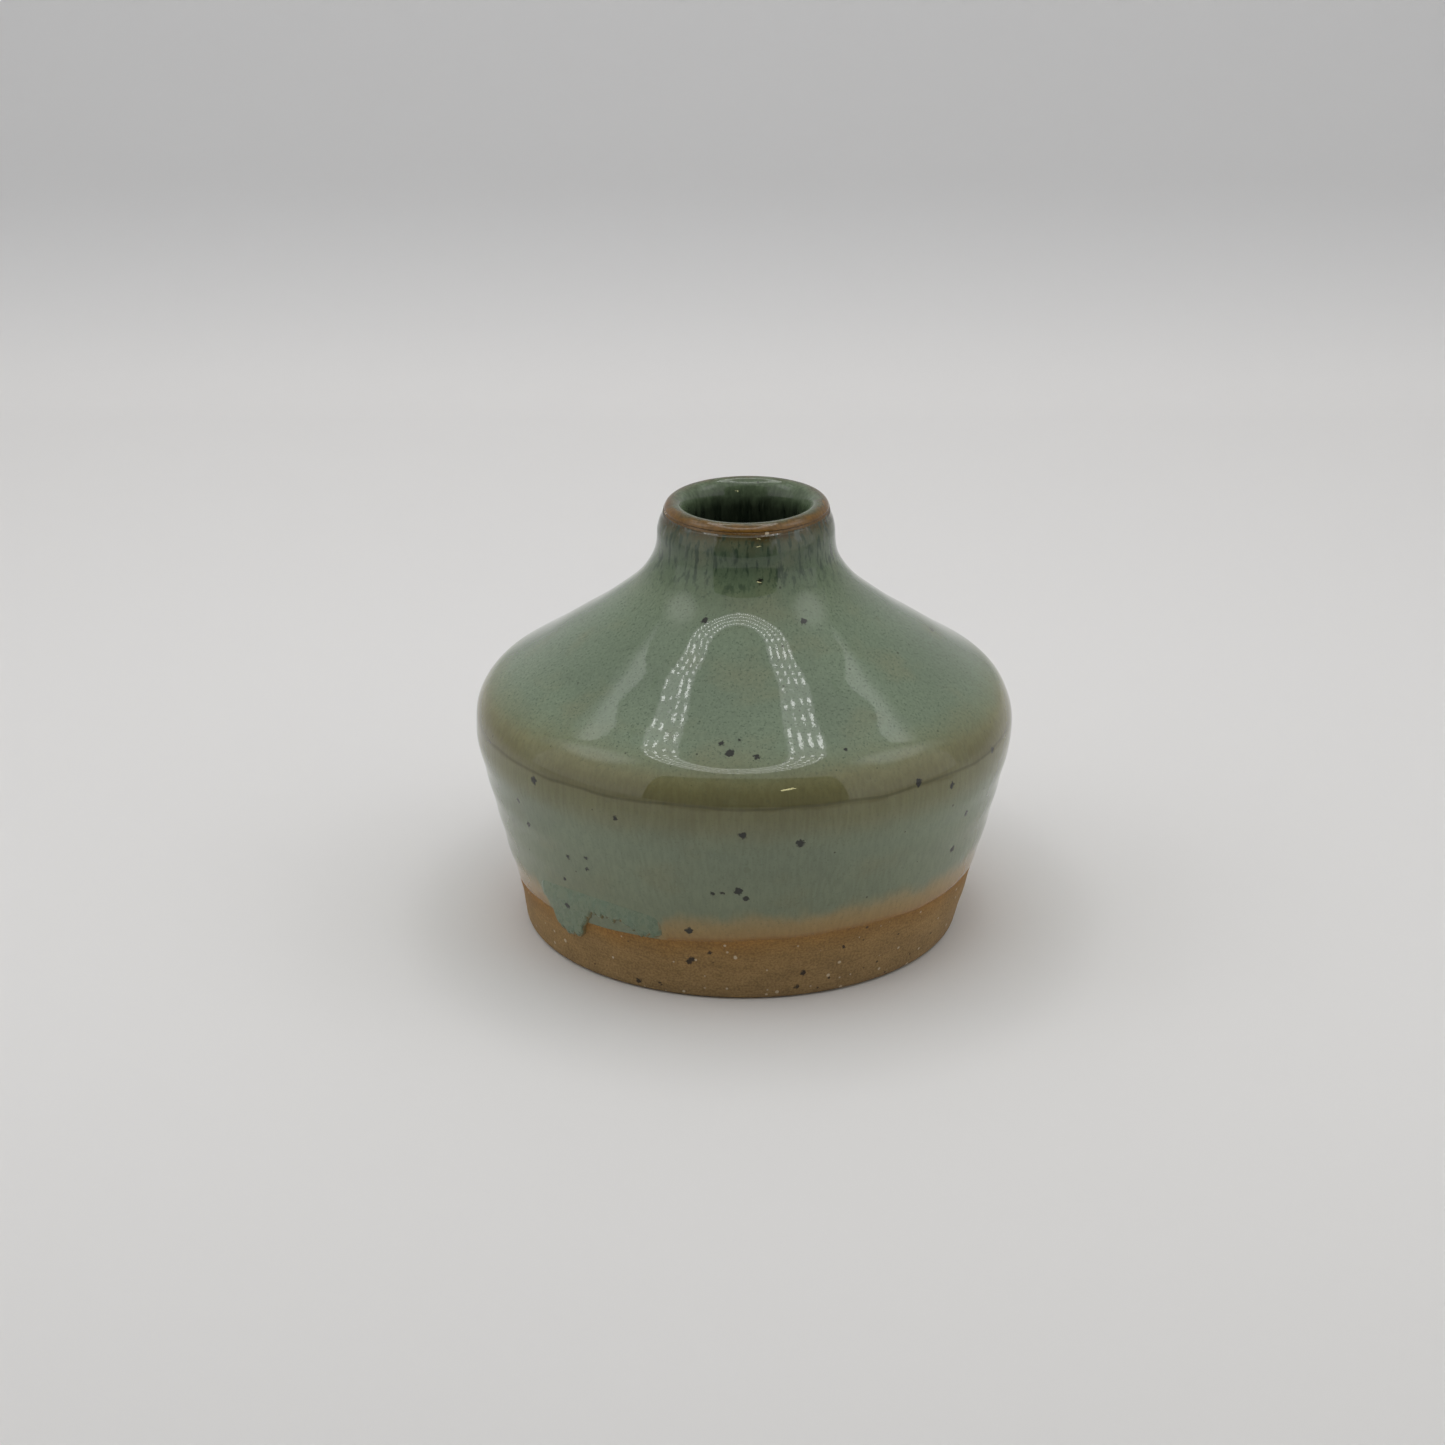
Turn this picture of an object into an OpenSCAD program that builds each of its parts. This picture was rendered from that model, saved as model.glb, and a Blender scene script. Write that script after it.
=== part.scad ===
// Ceramic bud vase: a small thrown stoneware bottle with a broad shoulder and a short neck.
// Origin at the centre of the foot, +Z up, millimetres. Every solid is turned about Z,
// and each glaze coat lies face to face on the clay that it is fused to.

/* [Body] */
// Greatest diameter, over the glaze
body_d = 76; // [72:0.5:82]
// Height from the foot to the crest of the lip
body_h = 61.2; // [59:0.2:66]
// Height at which the body is widest
belly_z = 28.8; // [26:0.2:31]
// Diameter where the wall rises from the rounded edge of the foot
foot_d = 62.3; // [57:0.1:66]
// Slope of the wall above the foot, in degrees from level
wall_angle = 78; // [75:1:82]

/* [Shoulder] */
// Slope of the shoulder, in degrees from level
shoulder_angle = 32.5; // [30:0.5:35]
// Diameter at which the rounded belly meets the straight slope
shoulder_d = 68.6; // [67:0.2:70]
// Height at which the rounded belly meets the straight slope
shoulder_z = 36.4; // [35.4:0.1:37]

/* [Neck] */
// Outer diameter of the neck, over the glaze
neck_d = 24.8; // [24.4:0.1:26]
// Height at which the shoulder has become the neck
neck_z = 56.8; // [55.5:0.1:57]
// Bore of the neck, inside the liner glaze
throat_d = 16.4; // [12:0.2:17]
// Length of the straight bore
throat_length = 7; // [5:0.5:8]
// Diameter over the outer edge of the lip
lip_d = 23.9; // [23:0.1:24.4]

/* [Clay] */
// Thickness of the thrown wall
wall_t = 3.5; // [3:0.1:4.5]
// Thickness of the clay floor
floor_t = 5; // [4:0.5:7]
// Radius of the corner between floor and wall inside
floor_fillet = 7; // [4:0.5:9]
// Radius of the rounded edge of the foot
foot_edge = 1; // [0.6:0.1:1.4]
// Diameter of the shallow recess under the foot
recess_d = 46; // [36:1:50]
// Depth of the recess under the foot
recess_depth = 0.6; // [0.3:0.1:1]

/* [Glaze] */
// Thickness of the glaze coats
glaze_t = 0.35; // [0.25:0.05:0.5]
// Thickness of the run, where the glaze gathered
run_t = 0.8; // [0.6:0.05:1.2]
// Mean height of the glaze line above the foot
glaze_line_z = 9.3; // [8.8:0.1:10]
// Tilt of the glaze line, from dipping the pot askew, in degrees
glaze_line_tilt = 5; // [0:0.5:6]
// Azimuth of the line's highest side, in degrees from +X
glaze_line_azimuth = -27; // [-90:1:90]
// Azimuth of the run, in degrees from +X
run_azimuth = -128; // [-180:1:180]

/* [Hidden] */

$fn = 96;
CURVE_STEPS = 12;     // straight pieces along each long curve of the outline
LIP_STEPS = 8;        // straight pieces along each curve of the lip
FADE_STEPS = 3;       // pieces over which a coat thins out to nothing at its edge
BARE_EDGE = 1.3;      // the outer coat stops this far below the crest
LIP_RISE = 3.4;       // height over which the bore opens out to the crest
STRAIGHT = 0.2;       // the clay's bore runs on this far past each end of the liner's bore
RECESS_EDGE = 0.6;    // width of the sloping edge of the recess
RUN_MID = 12.4;       // height of the middle of the run

clay_belly_r = body_d / 2 - glaze_t;
clay_neck_r = neck_d / 2 - glaze_t;
clay_lip_r = lip_d / 2 - glaze_t;
clay_crest_z = body_h - glaze_t;
clay_throat_r = throat_d / 2 + glaze_t;
crest_r = clay_throat_r + 0.52 * (clay_lip_r - clay_throat_r);
edge_z = clay_crest_z - BARE_EDGE;
bore_top_z = clay_crest_z - LIP_RISE;
bore_low_z = bore_top_z - throat_length;

// A cubic curve through p[0] and p[3], with handles p[1] and p[2]
function curve(p, steps = CURVE_STEPS) =
    [for (i = [0 : steps])
        let (t = i / steps, s = 1 - t)
        s*s*s * p[0] + 3*s*s*t * p[1] + 3*s*t*t * p[2] + t*t*t * p[3]];

// Short list tools: all but the first, back to front, and a stretch from first to last
function tail(list) = [for (i = [1 : len(list) - 1]) list[i]];
function reversed(list) = [for (i = [len(list) - 1 : -1 : 0]) list[i]];
function part_of(list, first, last) = [for (i = [first : last]) list[i]];

// The flank of the pot, from height z up to the belly, a distance inset inside the clay's face
function flank(inset, z) =
    let (r = foot_d / 2 - inset + (z - foot_edge) / tan(wall_angle),
         rise = belly_z - z,
         belly = [clay_belly_r - inset, belly_z])
    curve([[r, z],
           [r, z] + 0.5 * rise * [cos(wall_angle), sin(wall_angle)],
           belly - [0, 0.08 * rise],
           belly]);

// The point at radius r on the straight line that the shoulder follows, inset inside the clay's face
function on_slope(inset, r) =
    [r, shoulder_z - (inset + glaze_t) / cos(shoulder_angle)
        + (shoulder_d / 2 - r) * tan(shoulder_angle)];

// The shoulder, from the belly in to end, which is on the neck or at the foot of the bore
function shoulder(inset, end) =
    let (belly = [clay_belly_r - inset, belly_z],
         corner = on_slope(inset, belly[0]),
         join = on_slope(inset, shoulder_d / 2 - (inset + glaze_t) * sin(shoulder_angle)),
         turn = on_slope(inset, end[0]))
    concat(curve([belly, belly + 0.85 * (corner - belly), join + 0.6 * (corner - join), join]),
           tail(curve([join, join + 0.79 * (turn - join), turn, end])));

// The outside of the neck, from the end of the shoulder up to the bare edge
function neck() =
    curve([[clay_neck_r, neck_z], [clay_neck_r, neck_z + 1],
           [clay_lip_r, edge_z - 1], [clay_lip_r, edge_z]], LIP_STEPS);

// The lip, from the bare edge over the crest and down into the bore
function lip() =
    let (crest = [crest_r, clay_crest_z], bore = [clay_throat_r, bore_top_z + STRAIGHT])
    concat(curve([[clay_lip_r, edge_z], [clay_lip_r, clay_crest_z - 0.4],
                  crest + [1.1, 0], crest], LIP_STEPS),
           tail(curve([crest, crest - [1.1, 0], bore + [0, 1.6], bore], LIP_STEPS)));

// Unit normal at point i of a line of the clay's face, into the clay
function normal(line, i) =
    let (run = line[min(i + 1, len(line) - 1)] - line[max(i - 1, 0)])
    [-run[1], run[0]] / norm(run);

// The share of its full thickness that a coat has, so many points from its edge
function fade(points) = sin(90 * min(1, points / FADE_STEPS));

// The closed outline of a coat that thins out to nothing at both ends of a line
function coat(line, thickness) =
    let (last = len(line) - 1)
    concat(line, [for (i = [last - 1 : -1 : 1])
                     line[i] - thickness * fade(min(i, last - i)) * normal(line, i)]);

outer_line = concat(flank(0, foot_edge), tail(shoulder(0, [clay_neck_r, neck_z])), tail(neck()));
bore_line = [[clay_throat_r, bore_top_z], [clay_throat_r, bore_low_z]];
cavity_shoulder = shoulder(wall_t, [clay_throat_r, bore_low_z - STRAIGHT]);
cavity_flank = flank(wall_t, floor_t + floor_fillet * (1 - cos(wall_angle)));
fillet_centre = cavity_flank[0] - floor_fillet * [sin(wall_angle), -cos(wall_angle)];
cavity_corner = [for (i = [0 : CURVE_STEPS - 1])
                    let (a = -90 + i * wall_angle / CURVE_STEPS)
                    fillet_centre + floor_fillet * [cos(a), sin(a)]];
cavity_line = concat(bore_line, reversed(tail(cavity_shoulder)), reversed(cavity_flank),
                     reversed(cavity_corner));

// Rounded edge of the foot, from the resting face out to the wall
foot_line = [for (i = [0 : CURVE_STEPS / 2 - 1])
                let (a = -90 + i * 180 / CURVE_STEPS)
                [foot_d / 2 - foot_edge, foot_edge] + foot_edge * [cos(a), sin(a)]];
recess_line = [[recess_d / 2 - RECESS_EDGE, recess_depth], [recess_d / 2, 0]];

// The thrown clay: foot, wall, shoulder, neck and lip, with its cavity
module stoneware_body() {
    color("peru")
        rotate_extrude()
            polygon(concat([[0, recess_depth]], recess_line, foot_line, outer_line,
                           tail(lip()), cavity_line, [[0, floor_t]]));
}

// Half space above the glaze line, which slopes because the pot was dipped askew
module above_glaze_line() {
    reach = body_d;
    rotate([0, 0, glaze_line_azimuth])
        translate([0, 0, glaze_line_z])
            rotate([0, -glaze_line_tilt, 0])
                translate([-reach, -reach, 0])
                    cube([2 * reach, 2 * reach, body_h]);
}

// The run as seen from outside, x along the wall: a band with a long lobe, a notch and a short lobe
module run_outline() {
    difference() {
        union() {
            translate([0, RUN_MID]) square([16, 3], center = true);
            translate([-8, RUN_MID]) circle(r = 1.5);
            translate([8, RUN_MID]) circle(r = 1.5);
            translate([-5.5, 9.4]) circle(r = 4);
            translate([6.2, 11.6]) circle(r = 2.6);
        }
        translate([1.2, 8.6]) circle(r = 2.4);
    }
}

// Carries an outline out from the axis through the wall, on the side where the run is
module through_wall() {
    rotate([0, 0, run_azimuth + 90])
        rotate([90, 0, 0])
            linear_extrude(body_d)
                children();
}

// The outer coat, from the glaze line up to the bare edge under the lip
module outer_glaze() {
    color("cadetblue")
        difference() {
            intersection() {
                rotate_extrude() polygon(coat(outer_line, glaze_t));
                above_glaze_line();
            }
            through_wall() {
                run_outline();
                translate([-8, 0]) square([16, RUN_MID]);
            }
        }
}

// The liner, poured inside: floor, cavity and bore, and out over the crest of the lip
module liner_glaze() {
    clay_face = concat(tail(lip()), cavity_line, [[0, floor_t]]);
    last = len(clay_face) - 1;
    glaze_face = [for (i = [last - 1 : -1 : 1])
                     clay_face[i] - glaze_t * fade(i) * normal(clay_face, i)];
    color("darkseagreen")
        rotate_extrude()
            polygon(concat(clay_face, [[0, floor_t + glaze_t]], glaze_face));
}

// The thick run, where glaze gathered and slid below the line in two lobes
module glaze_run() {
    color("teal")
        intersection() {
            rotate_extrude() polygon(coat(part_of(flank(0, foot_edge), 1, 8), run_t));
            through_wall() run_outline();
        }
}

stoneware_body();
outer_glaze();
liner_glaze();
glaze_run();
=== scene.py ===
import math

import bpy
import numpy as np
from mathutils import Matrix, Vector


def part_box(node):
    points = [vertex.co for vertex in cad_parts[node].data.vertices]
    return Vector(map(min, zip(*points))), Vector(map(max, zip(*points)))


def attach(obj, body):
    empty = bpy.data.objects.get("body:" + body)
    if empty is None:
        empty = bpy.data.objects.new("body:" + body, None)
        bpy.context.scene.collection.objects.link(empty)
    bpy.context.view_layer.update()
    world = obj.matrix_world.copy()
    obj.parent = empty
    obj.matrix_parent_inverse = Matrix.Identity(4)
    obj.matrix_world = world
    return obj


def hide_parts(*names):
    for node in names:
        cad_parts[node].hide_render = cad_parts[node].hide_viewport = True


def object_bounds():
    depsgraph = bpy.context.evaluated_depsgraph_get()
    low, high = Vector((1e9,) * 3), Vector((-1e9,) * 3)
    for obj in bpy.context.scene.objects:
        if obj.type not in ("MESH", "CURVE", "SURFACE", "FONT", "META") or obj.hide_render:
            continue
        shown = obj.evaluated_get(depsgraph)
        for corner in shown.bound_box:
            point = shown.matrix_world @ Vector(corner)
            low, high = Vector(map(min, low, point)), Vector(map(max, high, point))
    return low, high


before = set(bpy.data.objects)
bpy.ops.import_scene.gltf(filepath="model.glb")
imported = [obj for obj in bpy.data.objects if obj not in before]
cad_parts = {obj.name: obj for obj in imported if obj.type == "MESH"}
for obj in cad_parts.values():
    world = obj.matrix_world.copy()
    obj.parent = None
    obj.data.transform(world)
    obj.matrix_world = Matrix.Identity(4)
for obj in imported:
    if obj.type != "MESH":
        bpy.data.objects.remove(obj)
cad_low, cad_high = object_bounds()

MM = 0.001
TURN = 512                    # points round each turned surface
ROOT = "root"

# ------------------------------------------------------------------------------------------------
# Driving dimensions: boxes from the frame, and the outline's dimensions as the CAD design has them
# ------------------------------------------------------------------------------------------------
clay_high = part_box("stoneware_body")[1]
BELLY_R = clay_high.x / MM                    # greatest radius of the clay
CREST_Z = clay_high.z / MM                    # height of the clay's crest, under the liner
COAT = (cad_high.x - clay_high.x) / MM        # thickness of the glaze coats
BELLY_Z = 28.8
FOOT_R = 31.15
FOOT_EDGE = 1.0
WALL_ANGLE = math.radians(78)
SLOPE_ANGLE = math.radians(32.5)
SLOPE_R, SLOPE_Z = 34.3, 36.4                 # where the belly meets the straight shoulder
NECK_R, NECK_Z = 12.05, 56.8
LIP_R = 11.6
EDGE_Z = CREST_Z - 1.3                        # top of the outer coat, under the lip
CREST_R = 10.14
BORE_R = 8.55
BORE_TOP_Z, BORE_LOW_Z = CREST_Z - 3.4, CREST_Z - 10.4
WALL, FLOOR, FLOOR_FILLET = 3.5, 5.0, 7.0
RECESS_R, RECESS_DEPTH = 23.0, 0.6
RUN_AZIMUTH, RUN_HALF = math.radians(-38), math.radians(18.5)
RUN_COAT = 0.75                               # thickness of the run
PAINTED_REFLECTION_Z = 31.05                           # painted reflection: a thin dark line in the glaze, under the belly's curve
EMBED = 0.05                                  # how far the hidden face of a coat lies inside the clay


# ------------------------------------------------------------------------------------------------
# The turned outline
# ------------------------------------------------------------------------------------------------
def bezier(points, steps=40):
    """A cubic curve through the first and last of four points, as an array of (radius, height)."""
    t = np.linspace(0, 1, steps + 1)[:, None]
    a, b, c, d = np.array(points, float)
    return (1 - t) ** 3 * a + 3 * (1 - t) ** 2 * t * b + 3 * (1 - t) * t * t * c + t ** 3 * d


def flank(inset, z):
    """The wall from height z up to the belly, inset inside the clay's face."""
    start = np.array([FOOT_R - inset + (z - FOOT_EDGE) / math.tan(WALL_ANGLE), z])
    belly = np.array([BELLY_R - inset, BELLY_Z])
    rise = BELLY_Z - z
    up = 0.5 * rise * np.array([math.cos(WALL_ANGLE), math.sin(WALL_ANGLE)])
    return bezier([start, start + up, belly - [0, 0.08 * rise], belly])


def on_slope(inset, r):
    """The point at radius r on the straight line that the shoulder follows."""
    drop = (inset + COAT) / math.cos(SLOPE_ANGLE)
    return np.array([r, SLOPE_Z - drop + (SLOPE_R - r) * math.tan(SLOPE_ANGLE)])


def shoulder(inset, end):
    """The shoulder from the belly in to its end on the neck, or at the foot of the bore."""
    belly, end = np.array([BELLY_R - inset, BELLY_Z]), np.array(end)
    corner, turn = on_slope(inset, belly[0]), on_slope(inset, end[0])
    join = on_slope(inset, SLOPE_R - (inset + COAT) * math.sin(SLOPE_ANGLE))
    low = bezier([belly, belly + 0.85 * (corner - belly), join + 0.6 * (corner - join), join])
    high = bezier([join, join + 0.79 * (turn - join), turn, end], 80)
    return np.vstack([low, high[1:]])


def neck():
    """The outside of the neck, from the end of the shoulder up to the bare edge."""
    return bezier([[NECK_R, NECK_Z], [NECK_R, NECK_Z + 1], [LIP_R, EDGE_Z - 1], [LIP_R, EDGE_Z]])


def lip_outside():
    """The lip from the bare edge up to the crest."""
    return bezier([[LIP_R, EDGE_Z], [LIP_R, CREST_Z - 0.4], [CREST_R + 1.1, CREST_Z],
                   [CREST_R, CREST_Z]])


def lip_inside():
    """The lip from the crest down to the top of the bore."""
    return bezier([[CREST_R, CREST_Z], [CREST_R - 1.1, CREST_Z], [BORE_R, BORE_TOP_Z + 1.8],
                   [BORE_R, BORE_TOP_Z]])


def foot():
    """The underside from the axis to the wall: recess, resting ring and rounded edge."""
    angle = np.linspace(-math.pi / 2, 0, 12)
    centre = FOOT_R - FOOT_EDGE
    edge = np.c_[centre + FOOT_EDGE * np.cos(angle), FOOT_EDGE + FOOT_EDGE * np.sin(angle)]
    return np.vstack([[0.5, RECESS_DEPTH], [RECESS_R - 0.6, RECESS_DEPTH], [RECESS_R, 0], edge])


def cavity():
    """The clay's inside from the top of the bore down to the middle of the floor."""
    roof = shoulder(WALL, [BORE_R, BORE_LOW_Z])
    side = flank(WALL, FLOOR + FLOOR_FILLET * (1 - math.cos(WALL_ANGLE)))
    centre = side[0] - FLOOR_FILLET * np.array([math.sin(WALL_ANGLE), -math.cos(WALL_ANGLE)])
    angle = np.linspace(-math.pi / 2, WALL_ANGLE - math.pi / 2, 16)
    corner = centre + FLOOR_FILLET * np.c_[np.cos(angle), np.sin(angle)]
    return np.vstack([[BORE_R, BORE_TOP_Z], roof[::-1], side[::-1], corner[::-1], [0.5, FLOOR]])


class Line:
    """An outline that can be read at any distance along it."""

    def __init__(self, *pieces):
        points = np.vstack(pieces)
        gap = np.r_[1, np.hypot(*np.diff(points, axis=0).T)]
        points = points[gap > 1e-6]
        self.points = points
        self.s = np.r_[0, np.cumsum(np.hypot(*np.diff(points, axis=0).T))]
        self.length = self.s[-1]

    def at(self, s):
        return np.interp(s, self.s, self.points[:, 0]), np.interp(s, self.s, self.points[:, 1])

    def s_at_height(self, z):
        return np.interp(z, self.points[:, 1], self.s)

    def normal(self, s):
        """Unit normal to the right of the outline's run, which is out of the clay on every outline."""
        r0, z0 = self.at(s - 0.15)
        r1, z1 = self.at(s + 0.15)
        size = np.hypot(r1 - r0, z1 - z0) + 1e-9
        return (z1 - z0) / size, -(r1 - r0) / size


OUTSIDE = Line(flank(0, FOOT_EDGE), shoulder(0, [NECK_R, NECK_Z]), neck(), lip_outside())
INSIDE = Line(lip_outside(), lip_inside(), cavity())
WHOLE = Line(foot(), OUTSIDE.points, lip_inside(), cavity())


# ------------------------------------------------------------------------------------------------
# The hand of the potter: the same small faults for every surface, so that coats stay on the clay
# ------------------------------------------------------------------------------------------------
def wrapped(azimuth):
    """The same azimuth, between minus and plus half a turn."""
    return (azimuth + math.pi) % (2 * math.pi) - math.pi


def handmade(r, azimuth, z):
    """Turns outline points into x, y, z, with out-of-round, throwing rings, a tilted lip, a lean,
    and on the front of the slope a shallow dent over a low swelling."""
    on_wall = np.clip(r / 20, 0, 1)
    up = z / CREST_Z
    oval = 0.16 * np.sin(2 * azimuth + 0.9 + 1.5 * up) + 0.08 * np.sin(3 * azimuth - 1.1 + 3 * up)
    rings = 0.045 * np.sin(z * 1.25 + 0.7 * np.sin(azimuth + 0.4)) * np.clip(z / 4, 0, 1)
    front = np.exp(-(wrapped(azimuth + 0.03) / 0.55) ** 2)
    dent = front * (0.22 * np.exp(-((z - 36.5) / 3.5) ** 2) - 0.26 * np.exp(-((z - 46) / 4.5) ** 2))
    r = r + (oval + rings + dent) * on_wall
    tilt = 0.22 * np.clip((z - 50) / 11, 0, 1) ** 2
    z = z + tilt * np.cos(azimuth - math.radians(155))
    lean = -0.5 * np.clip(1 - z / 10, 0, 1) ** 2 + 0.35 * np.clip((z - 45) / 16, 0, 1)
    return r * np.sin(azimuth) + lean * on_wall, -r * np.cos(azimuth), z


def glaze_line(azimuth):
    """Height of the lower edge of the outer coat, higher on the right, as the pot was dipped."""
    wave = 0.14 * np.sin(5 * azimuth + 0.4) + 0.09 * np.sin(11 * azimuth + 2)
    wave = wave + 0.05 * np.sin(23 * azimuth)
    return 8.3 + 2.1 * np.cos(azimuth - 0.78) + wave


# ------------------------------------------------------------------------------------------------
# Mesh making
# ------------------------------------------------------------------------------------------------
def new_object(name, points, faces, attributes=None):
    """A smooth object in the scene, with named numbers on its points."""
    mesh = bpy.data.meshes.new(name)
    mesh.from_pydata(points, [], faces)
    for key, values in (attributes or {}).items():
        layer = mesh.attributes.new(key, "FLOAT", "POINT")
        layer.data.foreach_set("value", np.ravel(values).astype(np.float32))
    mesh.shade_smooth()
    mesh.validate()
    made = bpy.data.objects.new(name, mesh)
    bpy.context.scene.collection.objects.link(made)
    return made


def turned(name, grid, attributes, closed=False, caps=()):
    """An object from a grid of points, one row round the axis after another. closed joins the last
    row to the first, and caps, a pair of heights, closes both ends with a point on the axis."""
    count, around = grid[0].shape
    points = np.stack(grid, -1).reshape(-1, 3) * MM
    i = np.arange(count if closed else count - 1)[:, None]
    j = np.arange(around)[None, :]
    a, b = i * around, (i + 1) % count * around
    k = (j + 1) % around
    faces = np.stack([a + j, a + k, b + k, b + j], -1).reshape(-1, 4).tolist()
    ends = [(0, True), (count - 1, False)]
    for height, (row, flip) in zip(caps, ends):
        tip = len(points)
        points = np.vstack([points, [0, 0, height * MM]])
        for n in range(around):
            pair = [row * around + n, row * around + (n + 1) % around]
            faces.append([*(reversed(pair) if flip else pair), tip])
    padding = np.zeros(len(caps))
    padded = {key: np.r_[np.ravel(values), padding] for key, values in attributes.items()}
    return new_object(name, points.tolist(), faces, padded)


def install(piece, node, material):
    """Puts a finished piece in place of its CAD node."""
    piece.data.materials.append(material)
    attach(piece, ROOT)
    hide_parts(node)
    return piece


def circle():
    """The azimuths of a turned surface's points."""
    return (np.arange(TURN) * 2 * math.pi / TURN)[None, :]


def surface(line, s, azimuth, lift):
    """Points on an outline at distances s, lifted off the clay by a thickness."""
    r, z = line.at(s)
    nr, nz = line.normal(s)
    return handmade(r + lift * nr, azimuth, z + lift * nz)


def stretch(start, end, steps):
    """Evenly spaced numbers from start up to, but without, end."""
    return np.linspace(start, end, steps, endpoint=False)


def smooth(x):
    """0 up to x = 0, 1 from x = 1, and a soft rise between."""
    x = np.clip(x, 0, 1)
    return x * x * (3 - 2 * x)


def make_clay(material):
    """The thrown body, fine where its clay is bare and coarser under the glaze and inside."""
    foot_end = Line(foot()).length
    shown = foot_end + 15
    s = np.r_[stretch(0, foot_end - 2.2, 24), stretch(foot_end - 2.2, foot_end, 12),
              stretch(foot_end, shown, 60), np.linspace(shown, WHOLE.length, 110)]
    azimuth = circle()
    s = s[:, None] + 0 * azimuth
    r, z = WHOLE.at(s)
    inside = s > WHOLE.length * 0.55
    below = np.where(inside, 30, glaze_line(azimuth) - z)
    piece = turned("clay_body", handmade(r, azimuth, z), {"below_line": below},
                   caps=(RECESS_DEPTH, FLOOR))
    return install(piece, "stoneware_body", material)


def outer_lift(s, s_low, s_top):
    """Thickness of the outer coat: a thin, rounded lower edge, then full, then fading at the lip."""
    above = s - s_low
    low = 0.22 + 0.78 * smooth(above / 5)
    low = low * np.sqrt(np.clip(above / 0.35, 0, 1))
    top = smooth((s_top - s) / 1.6 + 0.02)
    return COAT * low * top


def make_outer_glaze(material):
    """The outer coat, a closed skin from the glaze line up to the bare edge under the lip."""
    azimuth = circle()
    s_low = OUTSIDE.s_at_height(glaze_line(azimuth))
    s_top = OUTSIDE.s_at_height(EDGE_Z + 0.35) + 0 * azimuth
    t = np.r_[np.array([0, 0.0006, 0.0015, 0.003]), np.linspace(0.006, 1, 150)][:, None]
    s = s_low + (s_top - s_low) * t
    out = surface(OUTSIDE, s, azimuth, outer_lift(s, s_low, s_top))
    back_t = np.linspace(1, 0, 14)[1:-1, None]
    back_s = s_low + (s_top - s_low) * back_t
    back = surface(OUTSIDE, back_s, azimuth, -EMBED)
    grid = [np.vstack(pair) for pair in zip(out, back)]
    at_run = 6 * smooth((math.radians(20) - np.abs(wrapped(azimuth - RUN_AZIMUTH))) / 0.09)
    above = np.vstack([s - s_low + at_run, back_s - s_low + at_run])
    piece = turned("outer_glaze_coat", grid, {"above_line": above}, closed=True)
    return install(piece, "outer_glaze", material)


def make_liner(material):
    """The liner, a closed skin from the lip's outer edge over the crest and down to the floor."""
    azimuth = circle()
    lip_end = Line(lip_outside(), lip_inside()).length
    start = Line(lip_outside()).s_at_height(EDGE_Z + 0.75)
    s = np.r_[stretch(start, start + 0.4, 4), stretch(start + 0.4, lip_end, 36),
              stretch(lip_end, lip_end + 9, 24), np.linspace(lip_end + 9, INSIDE.length, 60)]
    s = s[:, None] + 0 * azimuth
    lift = COAT * smooth((s - start) / 1.3)
    out = surface(INSIDE, s, azimuth, lift)
    back_s = np.linspace(INSIDE.length, start, 60)[1:, None] + 0 * azimuth
    back = surface(INSIDE, back_s, azimuth, -EMBED)
    grid = [np.vstack(pair) for pair in zip(out, back)]
    from_edge = np.vstack([s, back_s]) - start
    piece = turned("liner_glaze_coat", grid, {"from_edge": from_edge}, closed=True)
    return install(piece, "liner_glaze", material)


def make_run(material):
    """The thick run: a patch whose lower edge hangs in a long lobe, a notch and a short lobe."""
    across = np.linspace(-1, 1, 180)[None, :]
    azimuth = RUN_AZIMUTH + RUN_HALF * across

    def bump(centre, width):
        return np.exp(-(((across - centre) / width) ** 4))

    fray = 0.25 * np.sin(31 * across + 1) + 0.18 * np.sin(67 * across + 2.2)
    fray = fray + 0.1 * np.sin(113 * across)
    low = 10.6 - 4.9 * bump(-0.47, 0.33) - 1.4 * bump(0.78, 0.22) + fray
    high = 14.6 + 1.2 * (1 - across ** 2)
    s_low, s_high = OUTSIDE.s_at_height(low), OUTSIDE.s_at_height(high)
    t = np.linspace(0, 1, 70)[:, None]
    s = s_low + (s_high - s_low) * t
    from_side = (1 - np.abs(across)) * math.degrees(RUN_HALF)
    fill = np.sqrt(np.clip((s - s_low) / 0.9, 0, 1)) * smooth((s_high - s) / 4.5)
    fill = fill * np.sqrt(np.clip(from_side / 2.2, 0, 1))
    rim = 0.02
    out = surface(OUTSIDE, s, azimuth, rim + (RUN_COAT - rim) * fill)
    back = surface(OUTSIDE, s, azimuth, -EMBED)
    from_rim = np.minimum(s - s_low, from_side * 0.6) + 0 * s
    piece = patch("glaze_run_patch", out, back, {"from_rim": from_rim})
    return install(piece, "glaze_run", material)


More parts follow.
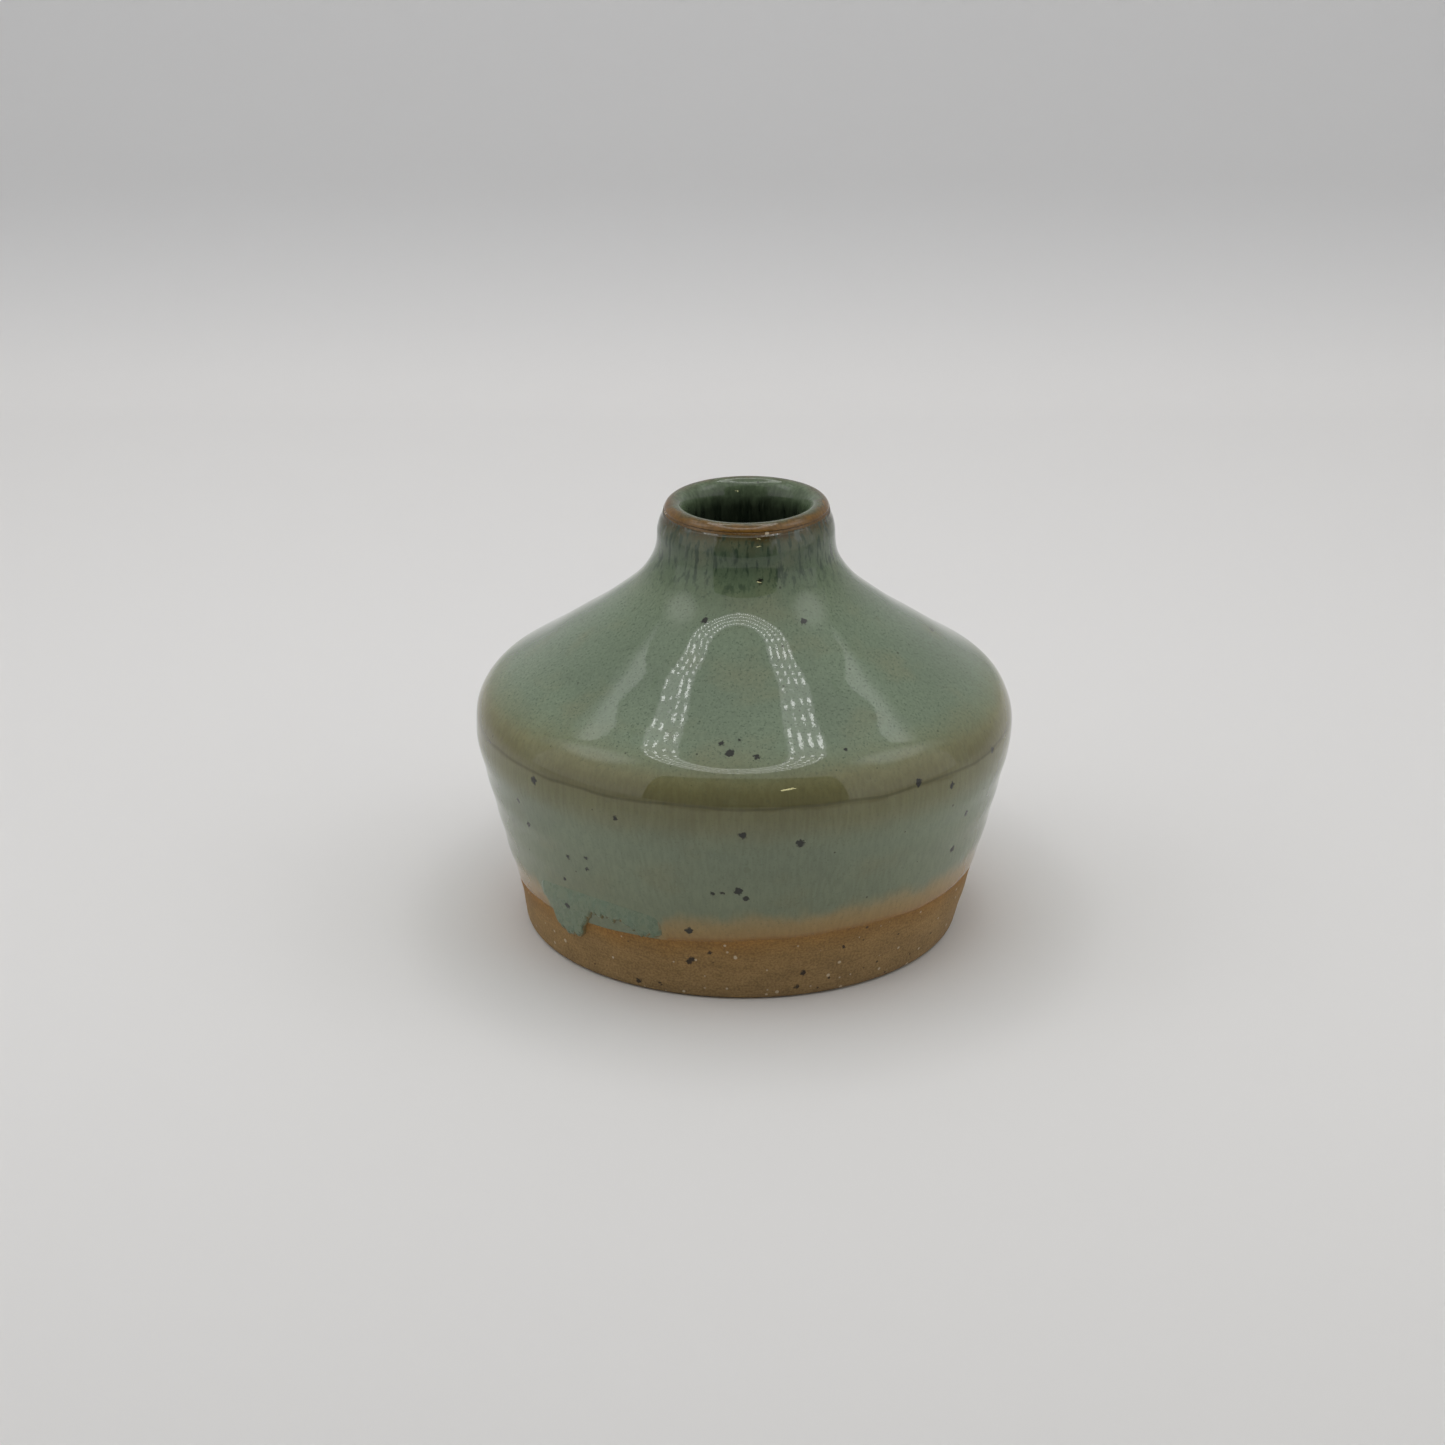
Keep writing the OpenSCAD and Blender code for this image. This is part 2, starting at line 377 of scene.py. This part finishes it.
def patch(name, out, back, attributes):
    """A closed object from two grids of points, its outer and its hidden face."""
    rows, cols = out[0].shape
    points = np.vstack([np.stack(grid, -1).reshape(-1, 3) for grid in (out, back)]) * MM
    i = np.arange(rows - 1)[:, None] * cols
    j = np.arange(cols - 1)[None, :]
    front = np.stack([i + j, i + j + 1, i + cols + j + 1, i + cols + j], -1).reshape(-1, 4)
    under = front[:, ::-1] + rows * cols
    rim = np.r_[np.arange(cols), np.arange(2, rows + 1) * cols - 1,
                np.arange(cols - 2, -1, -1) + (rows - 1) * cols,
                np.arange(rows - 2, 0, -1) * cols]
    ahead = np.roll(rim, -1)
    wall = np.stack([rim, rim + rows * cols, ahead + rows * cols, ahead], -1)
    both = {key: np.tile(np.ravel(values), 2) for key, values in attributes.items()}
    return new_object(name, points.tolist(), np.vstack([front, under, wall]).tolist(), both)


# ------------------------------------------------------------------------------------------------
# Materials
# ------------------------------------------------------------------------------------------------
def plain(name, colour, roughness):
    """A material with one colour."""
    material = bpy.data.materials.new(name)
    material.use_nodes = True
    shader = material.node_tree.nodes["Principled BSDF"]
    shader.inputs["Base Color"].default_value = colour
    shader.inputs["Roughness"].default_value = roughness
    return material


class Paint:
    """A material under construction. Lengths are in millimetres, and a value is a socket or a number."""

    def __init__(self, name):
        self.material = plain(name, (0.5, 0.5, 0.5, 1), 0.5)
        self.tree = self.material.node_tree
        self.shader = self.tree.nodes["Principled BSDF"]
        place = self.node("ShaderNodeTexCoord").outputs["Object"]
        self.place = self.vector("SCALE", place, scale=1 / MM)
        split = self.node("ShaderNodeSeparateXYZ")
        self.feed(self.place, split.inputs[0])
        self.height = split.outputs["Z"]
        self.behind = split.outputs["Y"]

    def node(self, kind, **settings):
        made = self.tree.nodes.new(kind)
        for key, value in settings.items():
            setattr(made, key, value)
        return made

    def feed(self, value, socket):
        """Links a socket to the value's socket, or sets it to a number, vector or colour."""
        if isinstance(value, bpy.types.NodeSocket):
            self.tree.links.new(value, socket)
        else:
            socket.default_value = value

    def vector(self, operation, a, b=None, scale=None):
        made = self.node("ShaderNodeVectorMath", operation=operation)
        self.feed(a, made.inputs[0])
        if b is not None:
            self.feed(b, made.inputs[1])
        if scale is not None:
            self.feed(scale, made.inputs["Scale"])
        return made.outputs["Value" if operation == "DISTANCE" else "Vector"]

    def math(self, operation, a, b=0.0, c=0.0):
        made = self.node("ShaderNodeMath", operation=operation)
        for value, socket in zip((a, b, c), made.inputs):
            self.feed(value, socket)
        return made.outputs[0]

    def attribute(self, name):
        return self.node("ShaderNodeAttribute", attribute_name=name).outputs["Fac"]

    def span(self, value, low, high, start=0.0, end=1.0):
        """Smoothly from start at low to end at high."""
        made = self.node("ShaderNodeMapRange", interpolation_type="SMOOTHSTEP")
        for item, socket in zip((value, low, high, start, end), made.inputs):
            self.feed(item, socket)
        return made.outputs[0]

    def noise(self, wide, tall=None, detail=2.0, seed=0.0):
        """Soft noise from 0 to 1, with marks so many millimetres wide and tall."""
        size = (1 / wide, 1 / wide, 1 / (tall or wide))
        scaled = self.vector("MULTIPLY", self.place, size)
        moved = self.vector("ADD", scaled, (seed, seed * 1.7, seed * 2.3))
        made = self.node("ShaderNodeTexNoise")
        self.feed(moved, made.inputs["Vector"])
        made.inputs["Scale"].default_value = 1.0
        made.inputs["Detail"].default_value = detail
        return made.outputs["Fac"]

    def dots(self, pitch, size, share, seed=0.0):
        """Scattered round dots, 1 inside and 0 outside: one in each share of the cells of a loose grid."""
        moved = self.vector("ADD", self.vector("SCALE", self.place, scale=1 / pitch), (seed, seed, seed))
        made = self.node("ShaderNodeTexVoronoi")
        self.feed(moved, made.inputs["Vector"])
        made.inputs["Scale"].default_value = 1.0
        pick = self.node("ShaderNodeSeparateColor")
        self.feed(made.outputs["Color"], pick.inputs[0])
        chosen = self.math("LESS_THAN", pick.outputs[0], share)
        reach = self.math("MULTIPLY_ADD", pick.outputs[1], 0.3 * size / pitch, 0.25 * size / pitch)
        dot = self.span(self.math("DIVIDE", made.outputs["Distance"], reach), 1.15, 0.75)
        return self.math("MULTIPLY", dot, chosen)

    def mix(self, share, a, b):
        """Colour a, with a share of colour b over it."""
        made = self.node("ShaderNodeMix", data_type="RGBA")
        for value, socket in ((share, made.inputs[0]), (a, made.inputs[6]), (b, made.inputs[7])):
            self.feed((*value, 1) if isinstance(value, tuple) else value, socket)
        return made.outputs[2]

    def ramp(self, value, stops):
        """Colours along a value, from a list of (value, colour)."""
        low, high = stops[0][0], stops[-1][0]
        made = self.node("ShaderNodeValToRGB")
        marks = made.color_ramp.elements
        while len(marks) < len(stops):
            marks.new(0.5)
        for mark, (at, colour) in zip(marks, stops):
            mark.position = (at - low) / (high - low)
            mark.color = (*colour, 1)
        scaled = self.math("DIVIDE", self.math("SUBTRACT", value, low), high - low)
        self.feed(scaled, made.inputs[0])
        return made.outputs["Color"]

    def shade(self, colour, value, low, high):
        """Multiplies a colour by a grey from low to high as a noise value goes from 0.3 to 0.7."""
        grey = self.span(value, 0.3, 0.7, low, high)
        return self.vector("SCALE", colour, scale=grey)

    def bump(self, *layers):
        """Fine relief from pairs of a value and its height in millimetres."""
        normal = None
        for value, height in layers:
            made = self.node("ShaderNodeBump")
            made.inputs["Strength"].default_value = 1.0
            made.inputs["Distance"].default_value = height * MM
            self.feed(value, made.inputs["Height"])
            if normal is not None:
                self.feed(normal, made.inputs["Normal"])
            normal = made.outputs["Normal"]
        self.feed(normal, self.shader.inputs["Normal"])

    def finish(self, colour, roughness):
        self.feed(colour, self.shader.inputs["Base Color"])
        self.feed(roughness, self.shader.inputs["Roughness"])
        self.shader.inputs["IOR"].default_value = 1.5
        return self.material


# Iron specks that the photograph shows: azimuth in degrees, height and width
SPECKS = [(-3.6, 36.8, 1.2), (-5.6, 37.6, 0.7), (2.3, 36.5, 0.8), (-1.5, 37.9, 0.4), (37, 31.5, 1.1),
          (46.5, 29.4, 0.9), (10.8, 25.9, 1.1), (-0.7, 27.4, 1.0), (-1.7, 18.4, 1.1), (0, 17.1, 0.8),
          (-7.1, 17.8, 0.6), (-5.1, 18, 0.5), (-13, 11.2, 1.2), (-48.5, 29.7, 1.1), (-45, 15.1, 0.7),
          (-53.8, 21.8, 0.8), (-56, 25.1, 0.8), (-42, 19.2, 0.7), (-27, 28, 0.6), (-36.3, 20.1, 0.5),
          (-36.7, 18.3, 0.5), (-20, 48.6, 0.9), (52.5, 18.2, 0.9), (54.5, 23.5, 0.8), (8, 53.5, 0.8),
          (63, 30.9, 0.8), (22.3, 36.5, 0.5), (28, 48.3, 0.9)]
CLAY_SPECKS = [(-12.8, 6.3, 0.9), (-13.4, 5.8, 0.8), (14.5, 3.9, 0.8), (13.5, 1.7, 0.7), (-27, 1.3, 0.8),
               (-21, 1.6, 0.5), (-8.5, 7.6, 0.5), (24, 7.4, 0.4)]
RUN_SPECKS = [(-45.5, 10.9, 0.9), (-37, 9.3, 0.6)]


def speck_marks(paint, specks, lift):
    """1 inside every listed speck and 0 outside, each a slightly ragged spot on the surface."""
    ragged = paint.span(paint.noise(0.45, detail=3, seed=5), 0.2, 0.8, -0.22, 0.22)
    nearest = 10.0
    for azimuth, z, width in specks:
        x, y, z = surface(OUTSIDE, OUTSIDE.s_at_height(z), math.radians(azimuth), lift)
        away = paint.vector("DISTANCE", paint.place, (float(x), float(y), float(z)))
        nearest = paint.math("MINIMUM", nearest, paint.math("SUBTRACT", away, width / 2))
    return paint.span(paint.math("ADD", nearest, ragged), 0.12, -0.12)


def clay_paint():
    """Bare fired stoneware: warm brown, orange just below the glaze, with grog and iron specks."""
    paint = Paint("raw_stoneware")
    below = paint.attribute("below_line")
    wander = paint.span(paint.noise(6, detail=3), 0.25, 0.75, -0.5, 0.5)
    colour = paint.ramp(paint.math("ADD", below, wander), [
        (-3, (0.130, 0.066, 0.010)), (-1.5, (0.30, 0.17, 0.05)), (0, (0.30, 0.15, 0.036)),
        (1.2, (0.295, 0.162, 0.046)), (3, (0.30, 0.182, 0.065)), (7, (0.292, 0.186, 0.074)),
        (10, (0.265, 0.172, 0.072))])
    colour = paint.shade(colour, paint.noise(5, 2, detail=3, seed=2), 0.90, 1.09)
    colour = paint.shade(colour, paint.noise(0.3, detail=4, seed=3), 0.78, 1.20)
    colour = paint.shade(colour, paint.noise(2.5, 0.22, seed=4), 0.93, 1.06)
    grog = paint.dots(1.4, 0.55, 0.34, seed=7)
    colour = paint.mix(paint.math("MULTIPLY", grog, 0.85), colour, (0.58, 0.48, 0.33))
    fine = paint.dots(1.6, 0.5, 0.28, seed=11)
    colour = paint.mix(paint.math("MULTIPLY", fine, 0.85), colour, (0.04, 0.026, 0.016))
    marks = speck_marks(paint, CLAY_SPECKS, 0)
    colour = paint.mix(paint.math("MULTIPLY", marks, 0.92), colour, (0.022, 0.016, 0.012))
    sandy = paint.noise(0.3, detail=4, seed=3)
    throwing_lines = paint.noise(3, 0.3, seed=4)
    paint.bump((sandy, 0.05), (throwing_lines, 0.05), (grog, 0.03))
    lip = paint.span(below, -4, -10)
    return paint.finish(colour, paint.span(lip, 0, 1, 0.8, 0.25))


def outer_paint():
    """The glossy green glaze, coloured by its height on the pot and by its distance from each edge, with a
    painted reflection, a thin dark line, under the belly's curve.
    """
    paint = Paint("outer_glaze")
    broad = paint.noise(16, detail=2, seed=1)
    wander = paint.span(paint.noise(5, detail=3, seed=2), 0.25, 0.75, -0.3, 0.3)
    colour = paint.ramp(paint.math("ADD", paint.height, wander), [
        (14, (0.188, 0.218, 0.138)), (24, (0.188, 0.226, 0.148)), (26, (0.188, 0.218, 0.136)),
        # From 28 to 34.2 mm the olive band is partly thin glaze over the belly's curve and partly a painted
        # reflection; the dark stop at 30.95 mm is the painted reflection of a dark gap.
        (28, (0.186, 0.192, 0.104)), (29.3, (0.176, 0.176, 0.086)), (30.6, (0.172, 0.166, 0.078)),
        (30.95, (0.128, 0.120, 0.046)), (31.5, (0.158, 0.148, 0.070)), (33, (0.176, 0.166, 0.076)),
        (34.2, (0.205, 0.200, 0.098)), (35.6, (0.182, 0.210, 0.120)), (37.5, (0.170, 0.222, 0.144)),
        (41, (0.158, 0.210, 0.138)), (47, (0.160, 0.213, 0.138)), (50, (0.160, 0.208, 0.130)),
        (52, (0.134, 0.182, 0.106)), (54.5, (0.112, 0.158, 0.092)), (57, (0.090, 0.125, 0.076)),
        (58.4, (0.094, 0.104, 0.060)), (59.0, (0.078, 0.066, 0.028)), (59.6, (0.060, 0.036, 0.008)),
        (60.4, (0.130, 0.066, 0.010))])
    colour = paint.shade(colour, broad, 0.93, 1.08)
    warm = paint.span(paint.noise(9, 6, detail=3, seed=3), 0.5, 0.75, 0, 0.35)
    colour = paint.mix(warm, colour, (0.205, 0.205, 0.112))

    # Painted reflection: a thin dark line round the pot under the belly's curve, where the glossy glaze
    # would mirror a dark gap.
    wave = paint.span(paint.noise(12, seed=21), 0.3, 0.7, -0.22, 0.22)
    above_painted_reflection = paint.math("SUBTRACT", paint.height, PAINTED_REFLECTION_Z)
    off_painted_reflection = paint.math("ABSOLUTE", paint.math("ADD", above_painted_reflection, wave))
    colour = paint.mix(paint.span(off_painted_reflection, 0.28, 0.08, 0, 0.38), colour, (0.055, 0.050, 0.020))

    above = paint.attribute("above_line")
    edge = paint.math("ADD", above, paint.span(paint.noise(4, 7, detail=4, seed=4), 0.25, 0.75, -0.8, 0.8))
    thin = paint.ramp(above, [
        (0, (0.285, 0.150, 0.038)), (0.35, (0.30, 0.165, 0.048)), (0.8, (0.325, 0.205, 0.075)),
        (2, (0.325, 0.225, 0.090)), (3.4, (0.295, 0.232, 0.108)), (5, (0.245, 0.222, 0.116))])
    colour = paint.mix(paint.span(edge, 2.8, 5.6), thin, colour)

    vertical = paint.noise(0.5, 3.5, detail=3, seed=6)
    colour = paint.shade(colour, vertical, 0.93, 1.07)
    grain = paint.noise(0.32, detail=3, seed=8)
    dark = paint.span(grain, 0.54, 0.70, 0, 0.62)
    on_slope = paint.span(paint.height, 33, 38, 0.35, 1.0)
    colour = paint.mix(paint.math("MULTIPLY", dark, on_slope), colour, (0.07, 0.10, 0.062))
    on_neck = paint.span(paint.height, 50, 55)
    streak = paint.span(paint.noise(0.7, 2.6, detail=4, seed=9), 0.50, 0.64)
    colour = paint.mix(paint.math("MULTIPLY", paint.math("MULTIPLY", streak, on_neck), 0.85), colour,
                       (0.035, 0.058, 0.036))
    pale = paint.span(paint.noise(1.3, 2.6, detail=3, seed=12), 0.55, 0.72)
    high = paint.span(paint.height, 55, 58)
    colour = paint.mix(paint.math("MULTIPLY", paint.math("MULTIPLY", pale, high), 0.6), colour,
                       (0.165, 0.180, 0.150))
    fine = paint.dots(2.3, 0.42, 0.25, seed=13)
    colour = paint.mix(paint.math("MULTIPLY", fine, 0.72), colour, (0.035, 0.035, 0.022))
    pepper = paint.math("MULTIPLY", paint.dots(0.9, 0.26, 0.22, seed=19), paint.span(paint.height, 30, 36))
    colour = paint.mix(paint.math("MULTIPLY", pepper, 0.6), colour, (0.04, 0.06, 0.035))
    marks = speck_marks(paint, SPECKS, COAT)
    colour = paint.mix(paint.math("MULTIPLY", marks, 0.95), colour, (0.012, 0.012, 0.009))
    hidden_side = paint.span(paint.behind, -10, -6)
    large = paint.math("MULTIPLY", paint.dots(6.5, 1.5, 0.42, seed=23), hidden_side)
    colour = paint.mix(paint.math("MULTIPLY", large, 0.95), colour, (0.012, 0.012, 0.009))
    halo = paint.dots(5.5, 1.6, 0.3, seed=17)
    colour = paint.mix(paint.math("MULTIPLY", halo, 0.16), colour, (0.08, 0.075, 0.035))
    paint.bump((paint.noise(1.1, detail=2, seed=14), 0.006), (grain, 0.0006))
    return paint.finish(colour, paint.span(grain, 0.4, 0.75, 0.02, 0.05))


def liner_paint():
    """The liner glaze: brown where it breaks over the lip's edge, green on the crest, streaked inside, and
    near black down the bore as painted shade.
    """
    paint = Paint("liner_glaze")
    edge = paint.attribute("from_edge")
    wander = paint.span(paint.noise(2.2, detail=3), 0.25, 0.75, -0.3, 0.3)
    # From 5.5 mm in, the colour falls to near black down the bore: painted shade inside the narrow neck.
    colour = paint.ramp(paint.math("ADD", edge, wander), [
        (0, (0.165, 0.082, 0.014)), (0.7, (0.150, 0.078, 0.014)), (1.1, (0.100, 0.072, 0.024)),
        (1.5, (0.085, 0.092, 0.045)), (2.3, (0.105, 0.145, 0.082)), (3.6, (0.090, 0.125, 0.070)),
        (5.5, (0.035, 0.048, 0.028)), (9, (0.014, 0.019, 0.012)), (40, (0.03, 0.04, 0.025))])
    inside = paint.span(edge, 3, 6)
    streak = paint.span(paint.noise(1.1, 7, detail=4, seed=3), 0.45, 0.62)
    colour = paint.mix(paint.math("MULTIPLY", paint.math("MULTIPLY", streak, inside), 0.8), colour,
                       (0.010, 0.016, 0.010))
    colour = paint.shade(colour, paint.noise(0.5, 1.2, detail=3, seed=5), 0.80, 1.20)
    fine = paint.dots(1.8, 0.4, 0.25, seed=6)
    colour = paint.mix(paint.math("MULTIPLY", fine, 0.7), colour, (0.02, 0.02, 0.014))
    paint.bump((paint.noise(1.2, detail=2, seed=8), 0.012), (paint.noise(0.4, detail=2, seed=9), 0.0015))
    return paint.finish(colour, paint.span(paint.noise(2, detail=2, seed=10), 0.3, 0.7, 0.07, 0.14))


def run_paint():
    """The thick run: opaque blue-green, with paler and darker flecks, thinner and warmer at its rim."""
    paint = Paint("glaze_run")
    rim = paint.attribute("from_rim")
    flecks = paint.noise(0.8, 1.1, detail=4, seed=2)
    colour = paint.mix(paint.span(flecks, 0.35, 0.65), (0.148, 0.200, 0.130), (0.184, 0.226, 0.142))
    cloud = paint.span(paint.noise(3.2, 4, detail=2, seed=4), 0.45, 0.7, 0, 0.6)
    colour = paint.mix(cloud, colour, (0.158, 0.222, 0.152))
    ragged = paint.math("ADD", rim, paint.span(paint.noise(0.9, detail=3, seed=5), 0.25, 0.75, -0.25, 0.25))
    colour = paint.mix(paint.span(ragged, 0.55, 0.1), colour, (0.25, 0.20, 0.10))
    grain = paint.noise(0.3, detail=3, seed=8)
    colour = paint.mix(paint.span(grain, 0.55, 0.72, 0, 0.4), colour, (0.07, 0.11, 0.08))
    marks = speck_marks(paint, RUN_SPECKS, RUN_COAT)
    colour = paint.mix(marks, colour, (0.015, 0.015, 0.012))
    paint.bump((paint.noise(1.0, detail=3, seed=6), 0.03), (grain, 0.003))
    return paint.finish(colour, paint.span(flecks, 0.3, 0.7, 0.22, 0.34))


# ------------------------------------------------------------------------------------------------
# Stage, light and camera
# ------------------------------------------------------------------------------------------------
def stage_object(name, points, faces, material, attributes=None):
    """An object of the stage, which isn't part of the vase."""
    made = new_object(name, [tuple(point) for point in points], faces, attributes)
    made.data.materials.append(material)
    return made


def make_sweep():
    """A pale sheet of paper: the floor, a small curve, and a wall painted a slightly deeper grey as shade.
    """
    start, radius, top, half = 0.262, 0.045, 1.2, 2.5
    line = [(-3.0, 0, 1), (-1, 0, 1), (-0.3, 0, 1), (0, 0, 1), (0.15, 0, 1), (start, 0, 1)]
    for n in range(1, 13):
        a = n * math.pi / 24
        line.append((start + radius * math.sin(a), radius - radius * math.cos(a), 1 - smooth(n / 12)))
    line.append((start + radius, top, 0))
    points = [(x, y, z) for y, z, unshaded in line for x in (-half, half)]
    faces = [(2 * n, 2 * n + 1, 2 * n + 3, 2 * n + 2) for n in range(len(line) - 1)]
    paper = plain("sweep_paper", (0.8, 0.8, 0.8, 1), 0.9)
    unshaded_values = np.repeat([unshaded for y, z, unshaded in line], 2)
    stage_object("sweep", points, faces, paper, {"unshaded": unshaded_values})
    tree = paper.node_tree
    unshaded = tree.nodes.new("ShaderNodeAttribute")
    unshaded.attribute_name = "unshaded"
    mix = tree.nodes.new("ShaderNodeMix")
    mix.data_type = "RGBA"
    # The wall's deeper grey is painted shade; the floor's paler grey is the paper's own colour.
    mix.inputs[6].default_value = (0.655, 0.655, 0.66, 1)
    mix.inputs[7].default_value = (0.81, 0.80, 0.79, 1)
    tree.links.new(unshaded.outputs["Fac"], mix.inputs[0])
    tree.links.new(mix.outputs[2], tree.nodes["Principled BSDF"].inputs["Base Color"])


def glow(name, strength, colour=(1, 1, 1)):
    """A light-giving material."""
    material = bpy.data.materials.new(name)
    material.use_nodes = True
    tree = material.node_tree
    tree.nodes.clear()
    emit = tree.nodes.new("ShaderNodeEmission")
    emit.inputs["Color"].default_value = (*colour, 1)
    emit.inputs["Strength"].default_value = strength
    out = tree.nodes.new("ShaderNodeOutputMaterial")
    tree.links.new(emit.outputs[0], out.inputs["Surface"])
    return material


def light_shape(name, points, faces, material):
    """A light-giving shape that lights the vase and shows in its glaze, but not in the picture."""
    stage_object(name, points, faces, material).visible_camera = False


# The lamps' places and sizes in metres, found from the reflections in the photographed glaze
RING_CENTRE = (-0.018, 0.012)
RING_INNER, RING_OUTER, RING_HEIGHT = 0.083, 0.145, 0.40
RING_DEPTH, RING_STRETCH = 1.6, -0.007      # the ring is longer from front to back than across
BOARD_STRENGTH = 1.85
LED_STRENGTH = 9.2
LED_ROWS, LED_PITCH, LED_HALF = 4, 0.010, 0.0028
PANEL_STRENGTH = 1.7
BACK_STRENGTH = 1.8
FLAG_STRENGTH = 0.03
SPARK_STRENGTH = 10.0
WORLD_STRENGTH = 0.68
WORLD_SIDE = 0.14


def on_ring(r, angle, height):
    """A point on the ring light, r out from its centre across and further from front to back."""
    cx, cy = RING_CENTRE
    depth = r * RING_DEPTH + RING_STRETCH
    return Vector((cx + r * math.cos(angle), cy + depth * math.sin(angle), height))


def make_ring_light():
    """The lamp over the vase: a flat white ring that carries four rows of small light squares."""
    sides = 96
    points, faces = [], []
    for n in range(sides):
        angle = n * 2 * math.pi / sides
        points += [on_ring(r, angle, RING_HEIGHT) for r in (RING_INNER, RING_OUTER)]
        k = (n + 1) % sides
        faces.append((2 * n, 2 * k, 2 * k + 1, 2 * n + 1))
    light_shape("ring_board", points, faces, glow("ring_board", BOARD_STRENGTH))
    points, faces = [], []
    for row in range(LED_ROWS):
        r = RING_INNER + (row + 0.5) * (RING_OUTER - RING_INNER) / LED_ROWS
        count = round(2 * math.pi * r / LED_PITCH)
        for n in range(count):
            angle = (n + 0.5 * row) * 2 * math.pi / count
            along = Vector((-math.sin(angle), math.cos(angle), 0)) * LED_HALF
            out = Vector((math.cos(angle), math.sin(angle), 0)) * LED_HALF
            middle = on_ring(r, angle, RING_HEIGHT - 0.001)
            first = len(points)
            points += [middle - along - out, middle - along + out]
            points += [middle + along + out, middle + along - out]
            faces.append((first, first + 1, first + 2, first + 3))
    light_shape("ring_lights", points, faces, glow("ring_lights", LED_STRENGTH))


def make_soft_lamps():
    """Soft glows high up: a broad one on either side, and a small one behind on either side."""
    for name, side in (("left", -1), ("right", 1)):
        centre = Vector((side * 0.27, -0.02, 0.32))
        make_soft_lamp(f"side_glow_{name}", centre, 0.04, 0.125, PANEL_STRENGTH)
        centre = Vector((side * 0.235, 0.128, 0.40))
        make_soft_lamp(f"back_glow_{name}", centre, 0.015, 0.055, BACK_STRENGTH)


def make_soft_lamp(name, centre, bright, reach, strength):
    """A square that faces the vase. Its light fades from its middle to that of the world at its edge."""
    facing = (centre - Vector((0, 0, 0.04))).normalized()
    across = facing.cross(Vector((0, 0, 1))).normalized() * reach
    up = across.cross(facing).normalized() * reach
    corners = [centre - across - up, centre + across - up, centre + across + up, centre - across + up]
    material = glow(name, strength)
    tree = material.node_tree
    where = tree.nodes.new("ShaderNodeNewGeometry")
    distance = tree.nodes.new("ShaderNodeVectorMath")
    distance.operation = "DISTANCE"
    distance.inputs[1].default_value = centre
    fade = tree.nodes.new("ShaderNodeMapRange")
    fade.interpolation_type = "SMOOTHSTEP"
    fade.inputs["From Min"].default_value = bright
    fade.inputs["From Max"].default_value = reach
    fade.inputs["To Min"].default_value = strength
    fade.inputs["To Max"].default_value = WORLD_STRENGTH
    tree.links.new(where.outputs["Position"], distance.inputs[0])
    tree.links.new(distance.outputs["Value"], fade.inputs["Value"])
    tree.links.new(fade.outputs[0], tree.nodes["Emission"].inputs["Strength"])
    light_shape(name, corners, [(0, 1, 2, 3)], material)


def make_front_flag():
    """A dark screen in front, where a photographer stands. It darkens what the glaze mirrors there."""
    x, y, low, high = 0.26, -0.30, 0.012, 0.36
    corners = [(-x, y, low), (x, y, low), (x, y, high), (-x, y, high)]
    light_shape("front_flag", corners, [(0, 1, 2, 3)], glow("front_flag", FLAG_STRENGTH))


def make_spark():
    """A small warm lamp in front, seen only as a short bright stroke in the glaze."""
    centre = Vector((0.093, -0.292, 0.162))
    along, across = Vector((0.016, 0, 0.010)), Vector((-0.003, 0, 0.0045))
    corners = [centre - along - across, centre + along - across]
    corners += [centre + along + across, centre - along + across]
    warm = glow("spark", SPARK_STRENGTH, (1, 0.93, 0.5))
    light_shape("spark", corners, [(0, 1, 2, 3)], warm)


def make_world():
    """Pale light from all round, a little stronger from the left and the right than from above."""
    world = bpy.data.worlds.new("studio")
    bpy.context.scene.world = world
    world.use_nodes = True
    tree = world.node_tree
    tree.nodes["Background"].inputs["Color"].default_value = (1, 1, 1, 1)
    where = tree.nodes.new("ShaderNodeTexCoord")
    split = tree.nodes.new("ShaderNodeSeparateXYZ")
    square = tree.nodes.new("ShaderNodeMath")
    square.operation = "MULTIPLY"
    mix = tree.nodes.new("ShaderNodeMath")
    mix.operation = "MULTIPLY_ADD"
    mix.inputs[1].default_value = WORLD_SIDE
    mix.inputs[2].default_value = WORLD_STRENGTH
    tree.links.new(where.outputs["Generated"], split.inputs[0])
    tree.links.new(split.outputs["X"], square.inputs[0])
    tree.links.new(split.outputs["X"], square.inputs[1])
    tree.links.new(square.outputs[0], mix.inputs[0])
    tree.links.new(mix.outputs[0], tree.nodes["Background"].inputs["Strength"])


def make_camera():
    """The photograph's viewing angle: from the front, a little above the lip."""
    data = bpy.data.cameras.new("camera")
    camera = bpy.data.objects.new("camera", data)
    bpy.context.scene.collection.objects.link(camera)
    data.sensor_width, data.lens = 36.0, 73.95
    data.clip_start, data.clip_end = 0.01, 10
    camera.location = (-0.0031, -0.3916, 0.1827)
    camera.rotation_euler = (math.radians(90 - 21.54), 0, 0)
    bpy.context.scene.camera = camera


make_camera()
make_world()
make_sweep()
make_ring_light()
make_soft_lamps()
make_front_flag()
make_spark()
make_clay(clay_paint())
make_outer_glaze(outer_paint())
make_liner(liner_paint())
make_run(run_paint())

bpy.context.scene.view_settings.view_transform = "Standard"
